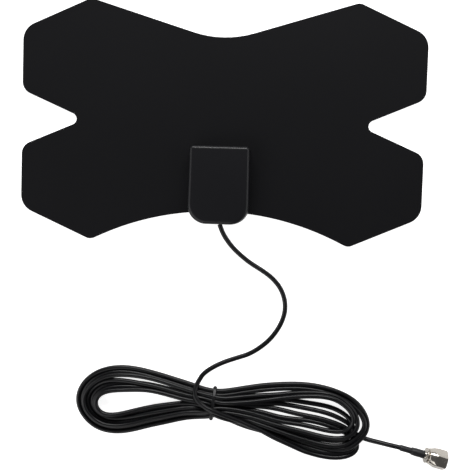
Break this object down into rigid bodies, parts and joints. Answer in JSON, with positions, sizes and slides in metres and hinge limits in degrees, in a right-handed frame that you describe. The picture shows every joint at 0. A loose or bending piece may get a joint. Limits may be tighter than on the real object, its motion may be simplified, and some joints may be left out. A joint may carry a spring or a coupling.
{
  "type": "indoor tv antenna",
  "caption": "Flat butterfly-shaped indoor television antenna panel with a small front housing and a thin coaxial lead, wound in a tied hank and ending in a screw-on connector.",
  "frame": {"origin": "centre of the panel on its back face, with the panel lying on its back", "axes": "+X to the right along the panel's width and +Y up its height, seen from the front, +Z out of the front face"},
  "size_m": [0.2757, 0.2895, 0.0116],
  "materials": {
    "black_film": "matt, very fine grain",
    "black_housing": "moulded, satin",
    "black_jacket": "extruded, slightly glossy",
    "black_tie": "satin",
    "shrink_sleeve": "shrunk tube, satin",
    "nickel": "nickel plated, bright",
    "brass": "bright",
    "foil": "bright",
    "tape": "foam tape",
    "board": "lacquered",
    "ferrite": "sintered",
    "copper": "enamelled wire",
    "braid": "woven tinned copper",
    "white_insulator": "turned"
  },
  "bodies": {
    "antenna": {"back_film": "black_film", "front_film": "black_film", "left_element": "foil", "right_element": "foil", "base_tape": "tape", "housing_base": "black_housing", "housing_cover": "black_housing", "left_contact": "brass", "right_contact": "brass", "circuit_board": "board", "balun_core": "ferrite", "balun_winding": "copper", "cord_clamp": "black_housing", "cord_inner_end": "black_jacket", "shield_end": "braid", "dielectric_end": "white_insulator", "conductor_end": "brass", "cord_lead": "black_jacket", "cord_hank": "black_jacket", "cord_tail": "black_jacket", "hank_tie": "black_tie", "inner_sleeve": "shrink_sleeve", "outer_sleeve": "shrink_sleeve", "crimp_ferrule": "nickel", "shield_crimp": "braid", "connector_body": "nickel", "insulator": "white_insulator", "centre_pin": "brass"},
    "coupling_nut": {"coupling_nut": "nickel"}
  },
  "joints": [
    {"name": "nut_spin", "type": "hinge", "parent": "antenna", "child": "coupling_nut", "pos_m": [0.13723, -0.20556, 0.0055], "axis": [0.9703, -0.2419, 0], "continuous": true}
  ]
}
